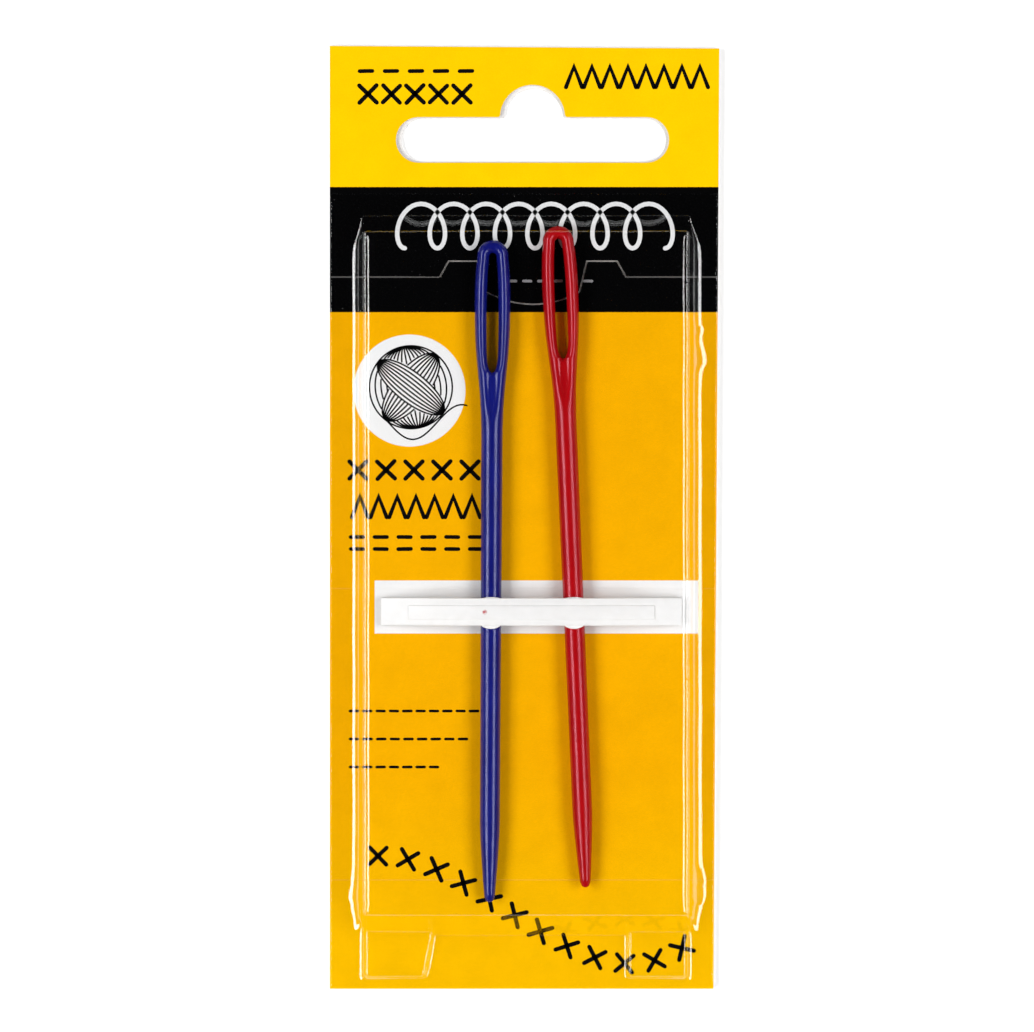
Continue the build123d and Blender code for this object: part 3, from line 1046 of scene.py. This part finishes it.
def formedProfile(inward, lean, low, high, footRound, topRound):
    # height over the card for a place this far inside the wall's foot line
    steep = math.atan2(high, lean)
    footCorner = low * lean / high
    footReach = footRound * math.tan(steep / 2)
    topReach = topRound * math.tan(steep / 2)
    if inward < footCorner - footReach:
        return low
    if inward < footCorner + footReach * math.cos(steep):
        return low + footRound - math.sqrt(max(0.0, footRound**2 - (inward - footCorner + footReach) ** 2))
    if inward < lean - topReach * math.cos(steep):
        return high * inward / lean
    if inward < lean + topReach:
        return high - topRound + math.sqrt(max(0.0, topRound**2 - (lean + topReach - inward) ** 2))
    rise, start, end = blister["rim"] if high > 2 else (0, 0, 1)
    return high + rise * smoothStep((inward - lean - topReach - start) / (end - start))


def crumple(side, y):
    total = 0.0
    for where, middle, half, extra in crumples:
        if where == side:
            away = (y - middle) / half
            ragged = 1 + 0.14 * math.sin(y * 2.9 + middle) + 0.06 * math.sin(y * 6.1 + 2 * middle)
            total += extra * math.exp(-(abs(away) ** 2.4)) * ragged
    return total


def wallShare(inward, lean):
    # 0 at the wall's foot and 1 at its top edge; past either end it goes on in millimetres
    if inward < 0:
        return inward
    return inward / lean if inward < lean else 1 + inward - lean


def fromWallShare(share, lean):
    if share < 0:
        return share
    return share * lean if share < 1 else lean + share - 1


def sheetHeight(x, y):
    leans = blister["leans"]
    inward = {
        "left": x - blister["left"],
        "right": blister["right"] - x,
        "foot": y - blister["foot"],
        "head": blister["head"] - y,
    }
    share = {side: wallShare(inward[side], leans[side]) for side in inward}
    side = "left" if inward["left"] < inward["right"] else "right"
    end = "foot" if inward["foot"] < inward["head"] else "head"
    corner, cornerTop = blister["cornerFoot"], blister["cornerTop"]
    corner += (cornerTop - corner) * smoothStep(min(share.values()))
    sideShare = smoothStep(0.5 + (share[end] - share[side]) / (2 * corner))
    lean = leans[side] * sideShare + leans[end] * (1 - sideShare)
    across = fromWallShare(softMin(share[side], share[end], corner), lean)
    # the sides' wide fillet starts below the head wall's top edge and narrows to the lugs' at the foot
    along = smoothStep((inward["head"] - leans["head"] + blister["sideStart"]) / blister["sideFade"])
    sideRound = blister["endRound"] + (blister["footRounds"][side] - blister["endRound"]) * along
    if end == "foot":
        atLug = blister["lugSideRound"]
        sideRound = atLug + (sideRound - atLug) * smoothStep(inward["foot"] / blister["lugFade"])
    footRound = sideRound * sideShare + blister["endRound"] * (1 - sideShare)
    topRound = blister["topRound"] * (0.4 + 0.6 * sideShare)
    beyond, fade = blister["crumpleFade"]
    footRound += crumple(side, y) * smoothStep((inward[end] + beyond) / fade)
    wave = 0.02 * math.sin(y * 0.5 + 0.3 * x) + 0.008 * math.sin(y * 2.3 - 0.7 * x)
    sheet, topHeight = blister["sheet"], blister["height"] - blister["rim"][0]
    height = formedProfile(across + wave, lean, sheet, topHeight, footRound, topRound)
    lug = 0.0
    for x0, x1, sideLean in blister["lugs"]:
        x1 -= sideLean * (blister["foot"] - y)
        outer = (x - x0 < x1 - x) == (x0 < 0)
        lugRound = blister["lugSideRound"] if outer else blister["lugRound"]
        inside = softMin(min(x - x0, x1 - x), y - blister["lugFoot"], blister["lugCorner"])
        if inside > -1.0 and y < blister["foot"] + blister["leans"]["foot"]:
            lean, low, high = blister["lugLean"], sheet, blister["lugHeight"]
            lug = max(lug, formedProfile(inside, lean, low, high, lugRound, blister["lugRound"]))
    if lug > sheet:
        height = -softMin(-height, -lug, blister["lugBlend"])
    return height


def gridLines(low, high, zones, step):
    # fine lines inside the zones (start, end, spacing), coarse ones between
    lines = [low, high]
    for start, end, spacing in zones:
        lines += list(np.arange(start, end, spacing)) + [end]
    lines = sorted(line for line in lines if low - 1e-6 <= line <= high + 1e-6)
    filled = [lines[0]]
    for line in lines[1:]:
        gap = line - filled[-1]
        if gap < 0.02:
            continue
        if gap > step:
            count = math.ceil(gap / step)
            filled += [filled[-1] + gap * i / count for i in range(1, count)]
        filled.append(line)
    filled[-1] = high
    return filled


def makeBlister(material):
    low = cardTop + blister["gap"]
    x0, y0, x1, y1 = blister["flange"]
    left, right, foot, head = (blister[side] for side in ("left", "right", "foot", "head"))
    xZones = [(left - 1.9, left - 1.1, 0.16), (left - 1.1, left + 0.35, 0.08), (left + 0.3, left + 1.2, 0.05)]
    xZones += [(left + right - end, left + right - start, step) for start, end, step in xZones]
    for lugLeft, lugRight, _ in blister["lugs"]:
        xZones += [(lugLeft - 0.3, lugLeft + 0.9, 0.1), (lugRight - 1.9, lugRight + 0.3, 0.1)]
    lugFoot = blister["lugFoot"]
    yZones = [(head - 3.2, head + 0.5, 0.09), (foot - 0.5, foot + 3.6, 0.1)]
    yZones += [(lugFoot - 0.3, lugFoot + 1.0, 0.09)]
    yZones += [(middle - half * 1.3, middle + half * 1.3, 0.26) for _, middle, half, _ in crumples]
    # lines close to the flange's edges keep the rounding at the rim
    xZones += [(x0 + 0.04, x0 + 0.08, 0.04), (x1 - 0.08, x1 - 0.04, 0.04)]
    yZones += [(y0 + 0.04, y0 + 0.08, 0.04), (y1 - 0.08, y1 - 0.04, 0.04)]
    xs = gridLines(x0, x1, xZones, 2.4)
    ys = gridLines(y0, y1, yZones, 0.9)
    points, faces = [], []
    for y in ys:
        edge = blister["flangeFootRight"] + (x1 - blister["flangeFootRight"]) * (y - y0) / (y1 - y0)
        for x in xs:
            outward = max(0.0, (x - right - 1.0) / (x1 - right - 1.0))
            points.append((x + (edge - x1) * outward, y, low + sheetHeight(x, y)))
    wide = len(xs)
    for i in range(len(ys) - 1):
        for j in range(wide - 1):
            a = i * wide + j
            faces.append((a, a + 1, a + wide + 1, a + wide))
    piece = meshPiece("blister_sheet", points, faces, material)
    thickness = piece.vertex_groups.new(name="thickness")  # the sheet thins where it is drawn into walls
    for vert in piece.data.vertices:
        steepness = 1 - max(vert.normal.z, 0.0)
        thickness.add([vert.index], 1 - blister["wallThinning"] * smoothStep(steepness * 1.6), "REPLACE")
    wall = piece.modifiers.new("sheet", "SOLIDIFY")
    wall.vertex_group = "thickness"
    wall.thickness = blister["sheet"] * mm * blister["formedShare"]
    wall.offset = -1
    return piece


def clearSheet():
    # a thin sheet: clear straight through, with each face's own reflection over it
    material = bpy.data.materials.new("clear_sheet")
    material.use_nodes = True
    tree = material.node_tree
    tree.nodes.remove(tree.nodes["Principled BSDF"])
    place = partPlace(tree)
    waves = {"Strength": 0.06, "Distance": 0.05 * mm, "Height": noise(tree, place, 0.9, 3.0, 0.55)}
    ripple = addNode(tree, "ShaderNodeBump", waves).outputs[0]
    facing = addNode(tree, "ShaderNodeFresnel", {"IOR": blister["ior"], "Normal": ripple}).outputs[0]
    glossy = calc(tree, "MULTIPLY", facing, blister["gloss"])
    mirrored = calc(tree, "MINIMUM", glossy, blister["mostGloss"])
    clear = addNode(tree, "ShaderNodeBsdfTransparent", {"Color": (0.996, 0.998, 1.0, 1)})
    shine = addNode(tree, "ShaderNodeBsdfGlossy", {"Roughness": 0.03, "Normal": ripple})
    sheet = addNode(tree, "ShaderNodeMixShader", {0: mirrored, 1: clear.outputs[0], 2: shine.outputs[0]})
    tree.links.new(sheet.outputs[0], tree.nodes["Material Output"].inputs["Surface"])
    return material


blisterPiece = makeBlister(clearSheet())
print("blister made,", len(blisterPiece.data.polygons), "faces before its thickness")


# Studio: white floor, two softboxes to the sides and a pale surround that is dark overhead

studio = {
    "floorSize": 3.0,
    "floorGap": 0.02,  # in millimetres, under the card
    "softboxes": [  # place in metres, size, power
        ((-0.42, -0.07, 0.46), (0.26, 0.6), 4.15),
        ((0.42, -0.05, 0.46), (0.26, 0.6), 3.3),
    ],
    "floorGlow": 0.12,  # brings the seen floor up to white
    "surround": 0.12,
    "backdropEdge": (0.2, 0.55),  # the backdrop is white below the first height and dark above the second
    "mirrored": 0.14,  # how much of the backdrop glossy surfaces show
}


def makeStudio():
    half = studio["floorSize"] / 2 / mm
    floorMaterial, floorShader = startMaterial("white_floor", (0.93, 0.93, 0.93), 0.7)
    tree = floorMaterial.node_tree
    path = addNode(tree, "ShaderNodeLightPath").outputs
    through = calc(tree, "MAXIMUM", path["Is Glossy Ray"], path["Is Transmission Ray"])
    seen = calc(tree, "MAXIMUM", path["Is Camera Ray"], through)
    glow = calc(tree, "MULTIPLY", seen, studio["floorGlow"])
    floorShader.inputs["Emission Color"].default_value = (1, 1, 1, 1)
    tree.links.new(glow, floorShader.inputs["Emission Strength"])
    corners = [(x * half, y * half, -studio["floorGap"]) for x, y in ((-1, -1), (1, -1), (1, 1), (-1, 1))]
    floor = meshPiece("floor", corners, [(0, 1, 2, 3)], floorMaterial, smooth=False)
    for i, (place, size, power) in enumerate(studio["softboxes"]):
        lamp = bpy.data.lights.new(f"softbox{i + 1}", "AREA")
        lamp.shape = "RECTANGLE"
        lamp.size, lamp.size_y = size
        lamp.energy = power
        holder = link(bpy.data.objects.new(f"softbox{i + 1}", lamp))
        holder.location = place
        holder.rotation_euler = (-Vector(place)).to_track_quat("-Z", "X").to_euler()
    world = bpy.data.worlds.new("surround")
    bpy.context.scene.world = world
    world.use_nodes = True
    tree = world.node_tree
    path = addNode(tree, "ShaderNodeLightPath").outputs
    seen = calc(tree, "MAXIMUM", path["Is Camera Ray"], path["Is Transmission Ray"])
    direction = addNode(tree, "ShaderNodeTexCoord").outputs["Generated"]
    up = addNode(tree, "ShaderNodeSeparateXYZ", {0: direction}).outputs[2]
    backdrop = ramp(tree, up, *studio["backdropEdge"], 1.0, 0.01)
    mirrored = calc(tree, "MULTIPLY", backdrop, studio["mirrored"])
    around = mixFloat(tree, path["Is Glossy Ray"], studio["surround"], mirrored)
    strength = mixFloat(tree, seen, around, backdrop)
    tree.links.new(strength, tree.nodes["Background"].inputs["Strength"])
    tree.nodes["Background"].inputs["Color"].default_value = (1, 1, 1, 1)


makeStudio()
print("studio made")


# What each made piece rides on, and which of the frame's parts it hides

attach(frontCard, "card")
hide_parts("front_card")
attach(cardInk, "card")
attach(strapPiece, "card")
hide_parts("needle_strap")
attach(blisterPiece, "blister")
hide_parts("blister_shell")
for name, slot in (("blue_needle", "blue_plastic"), ("red_needle", "red_plastic")):
    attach(needles[name], name)
    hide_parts(name)
